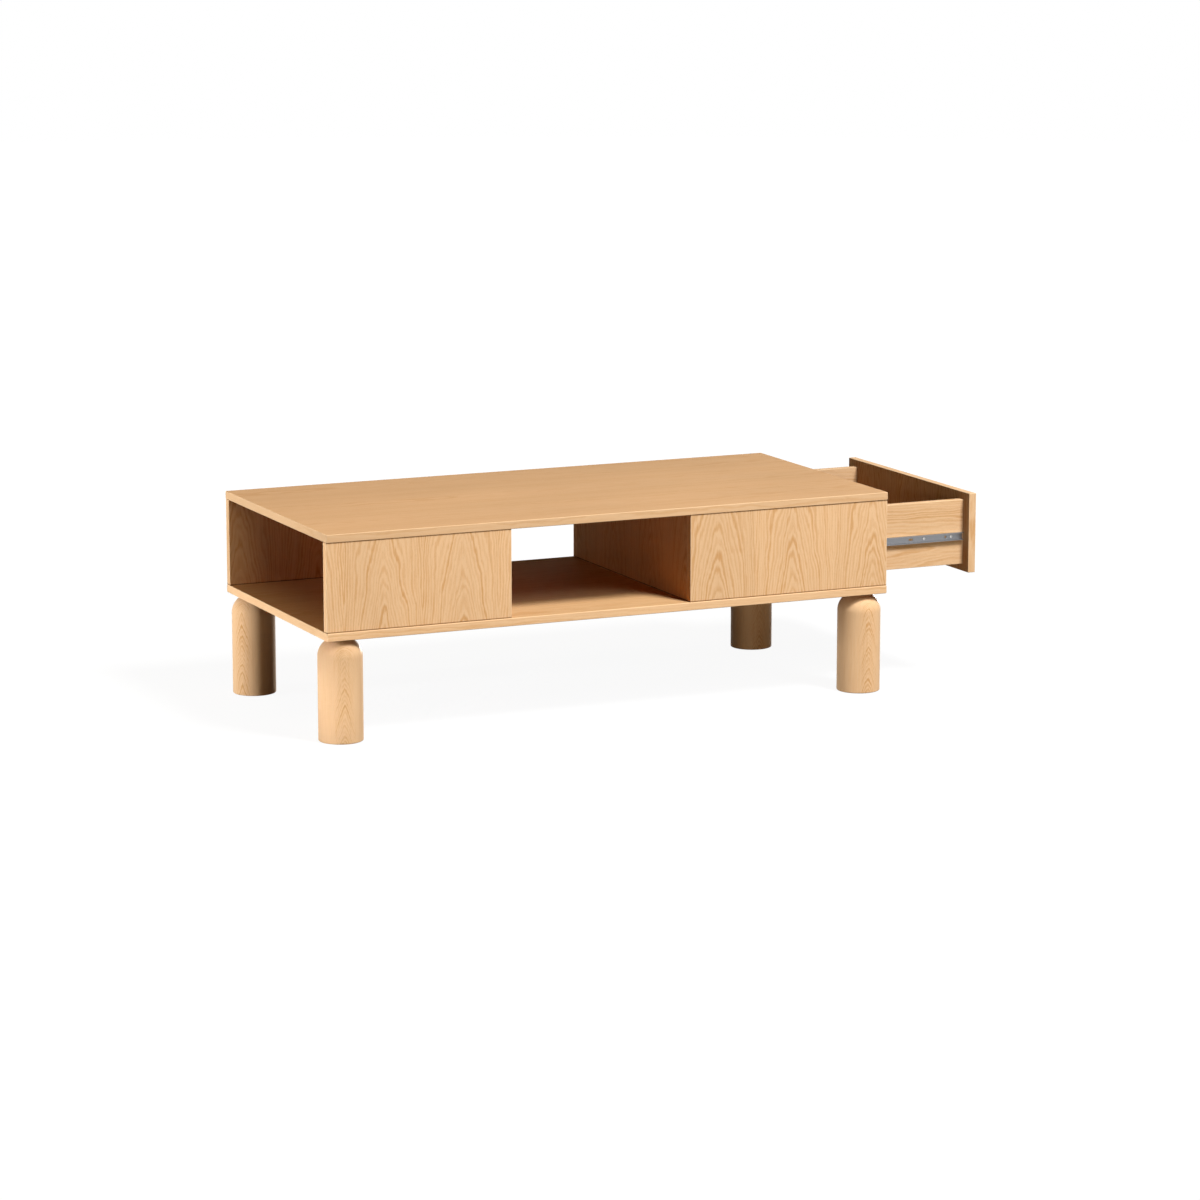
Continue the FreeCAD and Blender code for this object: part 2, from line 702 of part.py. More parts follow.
# Screws of the slides and battens. Each head stands on its seat, and its shank goes into the wood.
cabinet_rail_screws = Piece("cabinet_rail_screws", origin)
drawer_rail_screws = Piece("drawer_rail_screws", origin)
batten_screws = Piece("batten_screws", origin)
for sign in long_sides.values():
    seat = sign * (batten_y - size.rail_sheet)
    pegs(cabinet_rail_screws, "XZ_Plane", seat, -sign, cabinet_screws,
         size.rail_screw_head, size.rail_screw_head_height)
    pegs(cabinet_rail_screws, "XZ_Plane", seat, sign, cabinet_screws,
         size.rail_screw_diameter, size.rail_sheet + size.batten_thickness - size.screw_cover)
    seat = sign * (box_half + size.rail_sheet)
    pegs(drawer_rail_screws, "XZ_Plane", seat, sign, drawer_screws,
         size.rail_screw_head, size.rail_screw_head_height)
    pegs(drawer_rail_screws, "XZ_Plane", seat, -sign, drawer_screws,
         size.rail_screw_diameter, size.rail_sheet + size.side_thickness - size.screw_cover)
    seat = sign * (batten_y + size.batten_screw_head_height)
    pegs(batten_screws, "XZ_Plane", seat, -sign, batten_screw_places,
         size.batten_screw_head, size.batten_screw_head_height)
    pegs(batten_screws, "XZ_Plane", seat, sign, batten_screw_places, size.batten_screw_diameter,
         size.batten_thickness - size.batten_screw_head_height + batten_screw_bite)

# Push latch on the bottom panel: its plunger meets the shut drawer's face below the drawer box.
tip_end_x = face_shut_x - size.latch_gap
tip_x = tip_end_x - size.tip_length
latch_end_x = tip_x - size.latch_collar_gap
latch_x = latch_end_x - size.latch_length
latch_half = size.latch_width / 2
latch_z = deck_z + size.latch_axis
latch_bore = size.plunger_diameter + size.plunger_play
ear_half = latch_half + size.ear_width
ear_x = latch_x + (size.latch_length - size.ear_length) / 2
ear_screw_y = latch_half + size.ear_width / 2
ear_screw_x = ear_x + size.ear_length / 2
ear_screws = [(ear_screw_x, -ear_screw_y), (ear_screw_x, ear_screw_y)]
ear_screw_hole = size.ear_screw_diameter + size.fit_play
ear_screw_bite = size.bottom_thickness - size.screw_cover

latch = board(
    "push_latch_housing",
    (latch_x, -latch_half, deck_z), (latch_end_x, latch_half, deck_z + size.latch_height),
    size.latch_round)
ears = latch.sketch("XY_Plane")
rectangle(ears, ear_x - latch_x, latch_half - ear_half, ear_x + size.ear_length - latch_x,
          latch_half + ear_half)
latch.pad(ears, size.ear_thickness)
drill(latch, "YZ_Plane", latch_end_x, -1, [(zero, latch_z)], latch_bore, size.latch_bore_depth)
drill(latch, "XY_Plane", deck_z, 1, ear_screws, ear_screw_hole, size.ear_thickness)
drill(bottom_panel, "XY_Plane", deck_z, -1, ear_screws, ear_screw_hole,
      ear_screw_bite + size.screw_room)

latch_screws = Piece("push_latch_screws", origin)
ear_top_z = deck_z + size.ear_thickness
pegs(latch_screws, "XY_Plane", ear_top_z, 1, ear_screws, size.ear_screw_head,
     size.ear_screw_head_height)
pegs(latch_screws, "XY_Plane", ear_top_z, -1, ear_screws, size.ear_screw_diameter,
     size.ear_thickness + ear_screw_bite)

plunger = Piece("push_latch_plunger", origin)
plunger_x = tip_x - size.plunger_length
pegs(plunger, "YZ_Plane", plunger_x, 1, [(zero, latch_z)], size.plunger_diameter, size.plunger_length)

tip = Piece("push_latch_tip", origin)
pegs(tip, "YZ_Plane", tip_x, 1, [(zero, latch_z)], size.tip_diameter, size.tip_length)
tip.round_edges(size.tip_round, tip.edges_at("x", tip_end_x))

spring = Piece("push_latch_spring", origin)
spring_x = latch_end_x - size.latch_bore_depth
pegs(spring, "YZ_Plane", spring_x, 1, [(zero, latch_z)], size.spring_diameter, plunger_x - spring_x)
drill(spring, "YZ_Plane", spring_x, 1, [(zero, latch_z)], size.spring_diameter - 2 * size.spring_wire,
      plunger_x - spring_x)

# Everything is looked over before anything is written.
document.recompute()
for item in document.Objects:
    if "Invalid" in item.State or "Error" in item.State:
        raise RuntimeError(f"{item.Label} failed: {item.State}")
    if item.TypeId == "PartDesign::Pocket" and item.Shape.Volume >= item.BaseFeature.Shape.Volume:
        raise RuntimeError(f"{item.Label} of {item.getParentGeoFeatureGroup().Label} cuts nothing")
for item in finished:
    if item.Shape.isNull() or not item.Shape.isValid():
        raise RuntimeError(f"{item.Label} has no valid shape")

os.makedirs("parts", exist_ok=True)
for item in finished:
    item.Shape.exportStep(f"parts/{item.Label}.step")
    print(f"{item.Label}: {len(item.Shape.Solids)} solids, {item.Shape.Volume:.0f} mm3")
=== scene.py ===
import math

import bmesh
import bpy
from mathutils import Matrix, Vector, noise


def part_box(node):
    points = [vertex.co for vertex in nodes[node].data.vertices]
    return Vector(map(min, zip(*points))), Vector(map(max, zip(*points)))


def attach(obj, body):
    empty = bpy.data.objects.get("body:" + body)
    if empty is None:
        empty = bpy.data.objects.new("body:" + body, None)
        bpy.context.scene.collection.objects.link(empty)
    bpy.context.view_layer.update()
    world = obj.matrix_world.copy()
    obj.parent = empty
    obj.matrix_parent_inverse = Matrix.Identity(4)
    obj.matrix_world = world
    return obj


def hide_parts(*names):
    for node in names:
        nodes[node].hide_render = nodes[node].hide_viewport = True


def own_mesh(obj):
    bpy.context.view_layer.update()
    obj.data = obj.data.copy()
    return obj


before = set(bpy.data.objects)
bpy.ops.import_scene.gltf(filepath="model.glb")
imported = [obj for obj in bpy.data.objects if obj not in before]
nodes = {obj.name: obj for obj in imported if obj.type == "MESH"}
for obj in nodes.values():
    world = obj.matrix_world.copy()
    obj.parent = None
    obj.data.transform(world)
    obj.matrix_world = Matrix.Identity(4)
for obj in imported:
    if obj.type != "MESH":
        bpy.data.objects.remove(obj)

scene = bpy.context.scene
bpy.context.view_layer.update()  # the table's box before it is dressed
print("frame loaded:", len(nodes), "pieces")


class Flow:  # one socket of a shader, so that its maths is written as sums
    def __init__(self, tree, socket=None):
        self.tree = tree
        self.socket = socket

    def node(self, kind, settings=None, inputs=None, out=0):  # any node: settings first, then sockets
        made = self.tree.nodes.new("ShaderNode" + kind)
        for name, value in (settings or {}).items():
            setattr(made, name, value)
        for key, value in (inputs or {}).items():
            if isinstance(value, Flow):
                self.tree.links.new(value.socket, made.inputs[key])
            else:
                made.inputs[key].default_value = value
        return Flow(self.tree, made.outputs[out] if made.outputs else None)

    def pick(self, out):  # another output of the same node
        return Flow(self.tree, self.socket.node.outputs[out])

    def maths(self, operation, first, second=0.0):
        return self.node("Math", {"operation": operation}, {0: first, 1: second})

    def __add__(self, other):
        return self.maths("ADD", self, other)

    def __sub__(self, other):
        return self.maths("SUBTRACT", self, other)

    def __rsub__(self, other):
        return self.maths("SUBTRACT", other, self)

    def __mul__(self, other):
        return self.maths("MULTIPLY", self, other)

    def __truediv__(self, other):
        return self.maths("DIVIDE", self, other)

    def __abs__(self):
        return self.maths("ABSOLUTE", self)

    __radd__ = __add__
    __rmul__ = __mul__


def newFinish(name):  # an empty material and the flow that fills it
    material = bpy.data.materials.new(name)
    material.use_nodes = True
    material.node_tree.nodes.clear()
    return material, Flow(material.node_tree)


def surface(flow, sockets):
    skin = flow.node("BsdfPrincipled", None, sockets)
    flow.node("OutputMaterial", None, {"Surface": skin})


def ramped(value, low, high):  # 0 below low, 1 above high, eased between
    ends = {"Value": value, "From Min": low, "From Max": high}
    return value.node("MapRange", {"interpolation_type": "SMOOTHSTEP"}, ends)


def blended(share, first, second):  # two colours mixed by a share
    return share.node("Mix", {"data_type": "RGBA"}, {0: share, 6: first, 7: second}, out=2)


def toned(colour, level):  # a colour made lighter or darker
    return colour.node("VectorMath", {"operation": "SCALE"}, {0: colour, "Scale": level})


def tinted(colour, tint):  # a colour multiplied by another
    return colour.node("VectorMath", {"operation": "MULTIPLY"}, {0: colour, 1: tint})


def centred(value):  # noise between 0 and 1, brought round zero
    return value - 0.5


def dice(value, seed):  # one steady random number for each whole number
    return value.node("TexWhiteNoise", {"noise_dimensions": "1D"}, {"W": value + seed})


def mottle(spot, size, detail=2.0, coarse=0.55):  # soft cloudy noise, its patches about as large as size
    inputs = {"Vector": spot, "Scale": 1 / size, "Detail": detail, "Roughness": coarse}
    return spot.node("TexNoise", None, inputs)


def streaks(along, across, through, length, width, seed, detail=2.0):  # noise drawn out along the grain
    spot = along.node("CombineXYZ", None, {0: along / length, 1: across / width, 2: through / width + seed})
    return mottle(spot, 1.0, detail)


def bumped(height, strength, depth):
    return height.node("Bump", None, {"Strength": strength, "Distance": depth, "Height": height})


def ownSpot(flow):  # the piece's own coordinates, in metres
    return flow.node("TexCoord", None, None, out="Object")


def ownPlace(flow):  # the same, taken apart
    return flow.node("SeparateXYZ", None, {0: ownSpot(flow)})


def ownNormal(flow):
    return flow.node("SeparateXYZ", None, {0: flow.node("TexCoord", None, None, out="Normal")})


handedOn = (0.56, 0.31, 0.09)  # the share of its light that a board hands on, so that the bays stay deep


def deepened(colour, share=1.0):
    indirect = colour.node("LightPath", None, None, out="Is Diffuse Ray")
    return blended(indirect, colour, tinted(colour, [part * share for part in handedOn]))


def dress(nodeNames, material):
    for nodeName in nodeNames:
        for slot in nodes[nodeName].material_slots:
            slot.material = material


# Oak: growth rings of a tapering trunk, cut by the surface. Reach is how far from the heart it cuts.
oak = {
    "pale": (0.850, 0.565, 0.326, 1),
    "ring": (0.660, 0.345, 0.128, 1),
    "pore": (0.400, 0.205, 0.085, 1),
    "wornAndHighlight": (0.930, 0.680, 0.430, 1),  # paler along the arrises: sanded-through wear, and a painted highlight of the light the rounded edges catch
    "wornAndHighlightShare": 0.6,
    "seamShade": (0.230, 0.110, 0.045, 1),  # painted shade: the dark line of shadow in the groove of a joint
    "seamShadeShare": 0.75,
    "stray": 0.0062,  # how far a ring wanders
    "strayLength": 0.080,
    "strayWidth": 0.030,
    "straySeed": 0,
    "feather": 0.0026,  # its ragged edge
    "featherLength": 0.034,
    "featherWidth": 0.0045,
    "featherSeed": 7,
    "ringRise": 0.38,  # a ring starts quickly and fades over the rest of its width
    "ringFade": 0.40,
    "ringLeast": 0.24,  # how dark the faintest ring is
    "ringSpread": 0.54,  # and how much darker the boldest
    "band": 0.30,  # slow changes from one run of rings to the next
    "bandShare": 0.5,
    "fibreLength": 0.055,
    "fibreWidth": 0.0013,
    "fibreSeed": 3,
    "strandLength": 0.07,
    "strandWidth": 0.0034,
    "strandSeed": 9,
    "poreLength": 0.0065,
    "poreWidth": 0.00042,
    "poreSeed": 5,
    "poreFrom": 0.57,
    "poreTo": 0.70,
    "poreLeast": 0.34,  # pores between the rings
    "poreSpread": 0.5,  # and how many more stand in them
    "poreShare": 0.50,
    "cloudSize": 0.14,
    "cloudStretch": 0.4,
    "baseTone": 0.87,
    "fibreTone": 0.12,
    "cloudTone": 0.14,
    "roughness": 0.54,
    "ringRoughness": 0.12,
    "poreRoughness": 0.15,
    "grainDepth": 0.00025,
    "grainStrength": 0.35,
    "fibreHeight": 0.35,
    "ringHeight": 0.25,
}


def oakSkin(flow, along, across, through, reach, look):
    seed = look["seed"]

    def grain(kind, detail=2.0):
        length, width = oak[kind + "Length"], oak[kind + "Width"]
        return streaks(along, across, through, length, width, seed + oak[kind + "Seed"], detail)

    fibre, strand = grain("fibre"), grain("strand")
    wander = centred(grain("stray", 1.0)) * (2 * oak["stray"])
    wander = wander + centred(grain("feather")) * (2 * oak["feather"])
    rings = (reach + wander * look["wander"]) / look["ringWidth"]
    ringNumber = flow.maths("FLOOR", rings)
    phase = rings - ringNumber
    bold = dice(ringNumber, seed)
    early = ramped(phase, 0.0, oak["ringRise"]) * (1 - ramped(phase, oak["ringFade"], 1.0))
    early = early * (bold * bold * oak["ringSpread"] + oak["ringLeast"])
    bandInputs = {"W": rings * oak["band"] + seed, "Detail": 1.0}
    band = flow.node("TexNoise", {"noise_dimensions": "1D"}, bandInputs)
    pores = ramped(grain("pore", 1.0), oak["poreFrom"], oak["poreTo"])
    pores = pores * (early * oak["poreSpread"] + oak["poreLeast"])
    cloudSpot = flow.node("CombineXYZ", None, {0: along * oak["cloudStretch"], 1: across, 2: through + seed})
    cloud = mottle(cloudSpot, oak["cloudSize"], 1.0)
    figure = (early + centred(band) * oak["bandShare"]) * look["strength"]
    figure = figure + (fibre + strand - 1) * look["fibre"]
    colour = blended(figure, oak["pale"], oak["ring"])
    colour = blended(pores * look["strength"] * oak["poreShare"], colour, oak["pore"])
    # paler arrises: wear, and a painted highlight along the rounded edges
    if "arris" in look:
        colour = blended(look["arris"] * oak["wornAndHighlightShare"], colour, oak["wornAndHighlight"])
    # painted shade along the joint at the foot of an upright
    if "seamShade" in look:
        colour = blended(look["seamShade"] * oak["seamShadeShare"], colour, oak["seamShade"])
    # tint: painted warm light on the broad faces of the top and bottom
    if "tint" in look:
        colour = tinted(colour, look["tint"])
    level = fibre * oak["fibreTone"] + cloud * oak["cloudTone"] + oak["baseTone"]
    colour = deepened(toned(colour, level * look["tone"]), look.get("handed", 1.0))
    roughness = early * oak["ringRoughness"] + pores * oak["poreRoughness"]
    height = fibre * oak["fibreHeight"] - early * oak["ringHeight"] - pores
    surface(flow, {
        "Base Color": colour,
        "Roughness": roughness + look.get("roughness", oak["roughness"]),
        "Normal": bumped(height, oak["grainStrength"], oak["grainDepth"]),
        "Specular IOR Level": look["gloss"],
    })


# Veneered boards. Grain gives the axes along the grain, across it and through the board. Leaves of veneer
# lie side by side, one with its heart at the centre, and the trunk's taper draws the pointed arches.
boards = {
    # On the top and bottom, the lighter edges and the warmer broad faces are painted light.
    "top_panel": {"grain": "XYZ", "leaf": 0.19, "centre": 0.03, "heart": 0.030, "taper": 0.02,
                  "tone": 0.803, "edgeLitTone": 1.25, "tint": (1.0, 0.924, 0.843, 1),
                  "strength": 0.45, "fibre": 0.25, "gloss": 0.004},
    "bottom_panel": {"grain": "XYZ", "leaf": 0.19, "centre": -0.06, "heart": 0.030, "taper": 0.02,
                     "tone": 0.95, "edgeLitTone": 1.24, "tint": (1.0, 0.926, 0.79, 1),
                     "strength": 0.6, "fibre": 0.30, "gloss": 0.004},
    "left_front_panel": {"grain": "ZXY", "leaf": 0.160, "centre": -0.485, "heart": 0.012, "taper": 0.17,
                         "tone": 1.15, "edgeLitTone": 1.06},
    "right_front_panel": {"grain": "ZXY", "leaf": 0.176, "centre": 0.216, "heart": 0.010, "taper": 0.17,
                          "tone": 1.11, "edgeLitTone": 1.06},
    "left_rear_panel": {"grain": "ZXY", "leaf": 0.165, "centre": -0.41, "heart": 0.012, "taper": 0.15},
    "right_rear_panel": {"grain": "ZXY", "leaf": 0.165, "centre": 0.30, "heart": 0.012, "taper": 0.15},
    "left_divider": {"grain": "ZYX", "leaf": 0.17, "centre": -0.05, "heart": 0.010, "taper": 0.16},
    "right_divider": {"grain": "ZYX", "leaf": 0.17, "centre": -0.09, "heart": 0.010, "taper": 0.16},
    "drawer_face": {"grain": "ZYX", "leaf": 0.17, "centre": -0.17, "heart": 0.010, "taper": 0.16,
                    "edgeLitTone": 1.05},
    "drawer_side_front": {"grain": "XZY", "leaf": 0.2, "centre": 0.28, "heart": 0.010, "taper": 0.06,
                          "tone": 1.04, "handed": 0.4},
    "drawer_side_rear": {"grain": "XZY", "leaf": 0.2, "centre": 0.32, "heart": 0.010, "taper": 0.06,
                         "handed": 0.4},
    "drawer_back": {"grain": "YZX", "leaf": 0.2, "centre": 0.27, "heart": 0.012, "taper": 0.05},
}
boardWood = {
    "seedStep": 13.7,
    "heartSpread": 0.010,  # how much the leaves differ in heart, place and tone
    "heartSeed": 0.37,
    "shift": 0.012,
    "shiftSeed": 11.61,
    "toneSpread": 0.05,
    "tone": 1.0,
    # edges and ends lighter than the broad faces: painted light that they catch
    "edgeLitTone": 1.0,
    "ringWidth": 0.0052,
    "wander": 1.0,
    "strength": 1.0,
    "endFade": 0.5,  # how far the figure fades on the ends
    "gloss": 0.015,
    "fibre": 0.62,
    "handed": 1.0,
    "facingFrom": 0.60,  # a normal that leans less along an axis isn't square to it
    "facingTo": 0.80,
    "archFrom": 0.018,  # away from the heart the lines stand straighter
    "archTo": 0.070,
    "archFade": 0.75,
    # how far in from an arris the wear and the painted highlight reach
    "arrisFrom": 0.0006,
    "arrisTo": 0.0022,
    # how far up from the bottom the painted joint shade reaches
    "seamShadeFrom": 0.0012,
    "seamShadeTo": 0.0029,
}


def veneer(nodeName, ownLook, seed):
    material, flow = newFinish("oak_" + nodeName)
    look = {**boardWood, **ownLook}
    place = ownPlace(flow)
    normal = ownNormal(flow)
    low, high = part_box(nodeName)

    def facing(axis):  # 1 on the faces square to an axis
        return ramped(abs(normal.pick(axis)), look["facingFrom"], look["facingTo"])

    def gap(axis):  # how near the board's end is along an axis
        return flow.maths("MINIMUM", place.pick(axis) - low[axis], high[axis] - place.pick(axis))

    grain = ["XYZ".index(axis) for axis in look["grain"]]
    along, across, through = (place.pick(axis) for axis in grain)
    isEnd = facing(grain[0])  # ends carry a strip whose grain runs round the board
    ends = (across - along) * isEnd, (through - across) * isEnd, (along - through) * isEnd
    along, across, through = along + ends[0], across + ends[1], through + ends[2]
    count = (across - look["centre"]) / look["leaf"] + 0.5
    leafNumber = flow.maths("FLOOR", count)
    chance = dice(leafNumber, seed + look["heartSeed"])
    other = dice(leafNumber, seed + look["shiftSeed"])
    aside = centred(count - leafNumber) * look["leaf"] + centred(other) * look["shift"]
    depth = through - low[grain[2]] + look["heart"] + centred(chance) * look["heartSpread"]
    arched = 1 - ramped(abs(aside), look["archFrom"], look["archTo"]) * look["archFade"]
    reach = flow.maths("SQRT", aside * aside + depth * depth)
    reach = reach + (along - low[grain[0]]) * look["taper"] * arched
    isEdge = 1 - facing(grain[2])
    tone = centred(other) * look["toneSpread"] + look["tone"]
    # painted light: the edges and ends made lighter than the broad faces
    tone = tone * (isEdge * (look["edgeLitTone"] - 1) + 1)
    gaps = [gap(axis) for axis in range(3)]
    near, far = flow.maths("MINIMUM", gaps[0], gaps[1]), flow.maths("MAXIMUM", gaps[0], gaps[1])
    upright = look["grain"][0] == "Z" and nodeName != "drawer_face"  # glued between the top and the bottom
    edgeGap = far if upright else flow.maths("MAXIMUM", near, flow.maths("MINIMUM", far, gaps[2]))
    skin = {name: look[name] for name in ("ringWidth", "wander", "gloss", "handed", "fibre")}
    skin["seed"] = seed
    skin["tone"] = tone
    skin["strength"] = (1 - isEnd * look["endFade"]) * look["strength"]
    # the arris mask: wear, and a painted highlight along the edges
    skin["arris"] = 1 - ramped(edgeGap, look["arrisFrom"], look["arrisTo"])
    if "tint" in look:  # painted warm light on the broad faces, not on the lipped edges
        skin["tint"] = blended(isEdge, look["tint"], (1, 1, 1, 1))
    # the uprights carry a painted shade line where they stand on the bottom
    if upright:
        skin["seamShade"] = 1 - ramped(place.pick(2) - low.z, look["seamShadeFrom"], look["seamShadeTo"])
    oakSkin(flow, along, across, through, reach, skin)
    dress([nodeName], material)


for number, (nodeName, look) in enumerate(boards.items()):
    veneer(nodeName, look, boardWood["seedStep"] * (number + 1))
print("boards veneered:", len(boards))

# Turned legs. Turn is where the figure shows, in degrees from straight at the camera.
legs = {
    "leg_front_left": {"turn": 14, "tone": 0.92},
    "leg_rear_left": {"turn": -30, "tone": 1.14},
    "leg_front_right": {"turn": 25, "tone": 1.16},
    "leg_rear_right": {"turn": 21, "tone": 1.10},
}
legWood = {
    "seedFrom": 101.3,
    "seedStep": 9.1,
    "taper": -0.20,
    "point": 0.35,  # how pointed the arches are
    "pointRound": 0.002,
    "ringWidth": 0.0021,
    "wander": 0.55,
    "strength": 1.15,
    "plain": 0.85,  # how far the figure fades at its sides
    "plainFrom": 0.007,
    "plainTo": 0.023,
    "gloss": 0.04,
    "roughness": 0.38,
    "fibre": 0.64,
}

# The camera stands to the left of the front, as the photograph was taken.
cameraLook = {
    "place": (-3.3569, -7.5590, 1.7705),
    "azimuth": 24.55,
    "pitch": 10.84,
    "lens": 125.634,
    "sensor": 36.0,
    "farthest": 100.0,
}


def turnedLeg(nodeName, look, seed):
    material, flow = newFinish("oak_" + nodeName)
    place = ownPlace(flow)
    low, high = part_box(nodeName)
    middle = (low + high) / 2
    facing = math.radians(-90 - cameraLook["azimuth"] + look["turn"])
    dx, dy = math.cos(facing), math.sin(facing)
    offX, offY = place - middle.x, place.pick(1) - middle.y
    outward = offX * dx + offY * dy
    sideways = offY * dx - offX * dy
    along = place.pick(2)
    point = flow.maths("SQRT", sideways * sideways + legWood["pointRound"] ** 2) * legWood["point"]
    reach = outward - point + along * legWood["taper"]
    plain = ramped(abs(sideways), legWood["plainFrom"], legWood["plainTo"]) * legWood["plain"]
    skin = {name: legWood[name] for name in ("ringWidth", "wander", "gloss", "roughness", "fibre")}
    skin["seed"] = seed
    skin["tone"] = look["tone"]
    skin["strength"] = (1 - plain) * legWood["strength"]
    oakSkin(flow, along, sideways, outward, reach, skin)
    dress([nodeName], material)


for number, (nodeName, look) in enumerate(legs.items()):
    turnedLeg(nodeName, look, legWood["seedFrom"] + legWood["seedStep"] * number)
print("legs turned:", len(legs))

# Plain woods out of sight: plywood under the drawer, beech for battens and dowels.
beech = {"pale": (0.70, 0.47, 0.30, 1), "dark": (0.52, 0.31, 0.18, 1)}
peg = {**beech, "length": 0.008, "width": 0.0010}
plainWoods = {
    "ply_tray": {"pale": (0.74, 0.48, 0.27, 1), "dark": (0.58, 0.35, 0.18, 1), "grain": "YXZ",
                 "length": 0.09, "width": 0.0035, "handed": 0.4, "nodes": ["drawer_bottom"]},
    "beech_battens": {**beech, "length": 0.012, "width": 0.0014, "grain": "XZY",
                      "nodes": ["slide_batten_front", "slide_batten_rear"]},
    "beech_pegs_upright": {**peg, "grain": "ZXY", "nodes": ["top_dowels", "bottom_dowels"]},
    "beech_pegs_across": {**peg, "grain": "YXZ", "nodes": ["divider_dowels", "drawer_back_dowels"]},
    "beech_pegs_along": {**peg, "grain": "XYZ", "nodes": ["drawer_face_dowels"]},
}
plainFigure = {
    "fleckSeed": 2.0,
    "fleckFrom": 0.45,
    "fleckTo": 0.72,
    "fleckShare": 0.6,
    "fibreSeed": 5.0,
    "fibreLength": 8,  # in lengths and widths of a fleck
    "fibreWidth": 0.5,
    "fibreShare": 0.3,
    "roughness": 0.5,
    "fleckRoughness": 0.2,
    "grainDepth": 0.0002,
    "grainStrength": 0.3,
}


def plainWood(name, look):
    material, flow = newFinish(name)
    figure = plainFigure
    place = ownPlace(flow)
    along, across, through = (place.pick("XYZ".index(axis)) for axis in look["grain"])
    fleck = streaks(along, across, through, look["length"], look["width"], figure["fleckSeed"])
    length, width = look["length"] * figure["fibreLength"], look["width"] * figure["fibreWidth"]
    fibre = streaks(along, across, through, length, width, figure["fibreSeed"])
    share = ramped(fleck, figure["fleckFrom"], figure["fleckTo"]) * figure["fleckShare"]
    share = share + fibre * figure["fibreShare"]
    surface(flow, {
        "Base Color": deepened(blended(share, look["pale"], look["dark"]), look.get("handed", 1.0)),
        "Roughness": fleck * figure["fleckRoughness"] + figure["roughness"],
        "Normal": bumped(fibre - fleck, figure["grainStrength"], figure["grainDepth"]),
    })
    dress(look["nodes"], material)


for name, look in plainWoods.items():
    plainWood(name, look)
print("plain woods:", len(plainWoods))

# Sheet and wire: zinc bloom on the rails, drawn lines along them, finer plating on screws and bolts.
metals = {
    "galvanised": {"tone": (0.25, 0.255, 0.27, 1), "bright": (0.31, 0.315, 0.33, 1),
                   "bloom": 0.005, "line": 0.0004, "rough": 0.36,
                   "nodes": ["drawer_rail_front", "drawer_rail_rear",
                             "cabinet_rail_front", "cabinet_rail_rear"]},
    "cage_strip": {"tone": (0.36, 0.36, 0.37, 1), "bright": (0.48, 0.48, 0.49, 1),
                   "bloom": 0.003, "line": 0.0003, "rough": 0.4,
                   "nodes": ["ball_cage_front", "ball_cage_rear"]},
    "zinc_plate": {"tone": (0.52, 0.52, 0.53, 1), "bright": (0.68, 0.68, 0.67, 1),
                   "bloom": 0.0012, "line": 0.0002, "rough": 0.3,
                   "nodes": ["leg_bolts", "leg_inserts"]},
    "bright_ball": {"tone": (0.66, 0.66, 0.68, 1), "bright": (0.74, 0.74, 0.76, 1),
                    "bloom": 0.002, "line": 0.0002, "rough": 0.1,
                    "nodes": ["slide_balls_front", "slide_balls_rear"]},
}
metalFigure = {
    "bloomShare": 0.45,
    "bloomRough": 0.10,
    "lineSeed": 1.0,
    "lineLength": 120,  # in line widths
    "lineShare": 0.55,
    "lineRough": 0.12,
    "lineDepth": 0.0001,
    "lineStrength": 0.12,
}


def metal(name, look):
    material, flow = newFinish(name)
    figure = metalFigure
    place = ownPlace(flow)
    cells = {"Vector": ownSpot(flow), "Scale": 1 / look["bloom"]}
    bloom = flow.node("TexVoronoi", {"feature": "F1"}, cells, out="Color")
    patch = flow.node("SeparateXYZ", None, {0: bloom})
    length = look["line"] * figure["lineLength"]
    line = streaks(place, place.pick(2), place.pick(1), length, look["line"], figure["lineSeed"])
    share = patch * figure["bloomShare"] + line * figure["lineShare"]
    surface(flow, {
        "Base Color": blended(share, look["tone"], look["bright"]),
        "Metallic": 1.0,
        "Roughness": patch * figure["bloomRough"] + line * figure["lineRough"] + look["rough"],
        "Normal": bumped(line, figure["lineStrength"], figure["lineDepth"]),
    })
    dress(look["nodes"], material)
    return material


plating = {name: metal(name, look) for name, look in metals.items()}
print("metals plated:", len(plating))

# Moulded latch parts.
mouldings = {
    "latch_shell": {"tone": (0.46, 0.46, 0.46, 1), "bright": (0.56, 0.56, 0.56, 1),
                    "rough": 0.48, "stipple": 0.0009,
                    "nodes": ["push_latch_housing", "push_latch_plunger"]},
    "latch_bumper": {"tone": (0.028, 0.028, 0.030, 1), "bright": (0.060, 0.060, 0.062, 1),
                     "rough": 0.75, "stipple": 0.0005, "nodes": ["push_latch_tip"]},
}
mouldFigure = {
    "stippleShare": 0.5,
    "stippleRough": 0.15,
    "stippleDepth": 0.0001,
    "stippleStrength": 0.2,
    "cloud": 20,  # in stipples
    "cloudShare": 0.5,
}


def moulding(name, look):
    material, flow = newFinish(name)
    figure = mouldFigure
    spot = ownSpot(flow)
    stipple = mottle(spot, look["stipple"])
    cloud = mottle(spot, look["stipple"] * figure["cloud"], 1.0)
    share = stipple * figure["stippleShare"] + cloud * figure["cloudShare"]
    surface(flow, {
        "Base Color": blended(share, look["tone"], look["bright"]),
        "Roughness": stipple * figure["stippleRough"] + look["rough"],
        "Normal": bumped(stipple, figure["stippleStrength"], figure["stippleDepth"]),
    })
    dress(look["nodes"], material)


for name, look in mouldings.items():
    moulding(name, look)
print("mouldings:", len(mouldings))

weldDistance = 1e-6


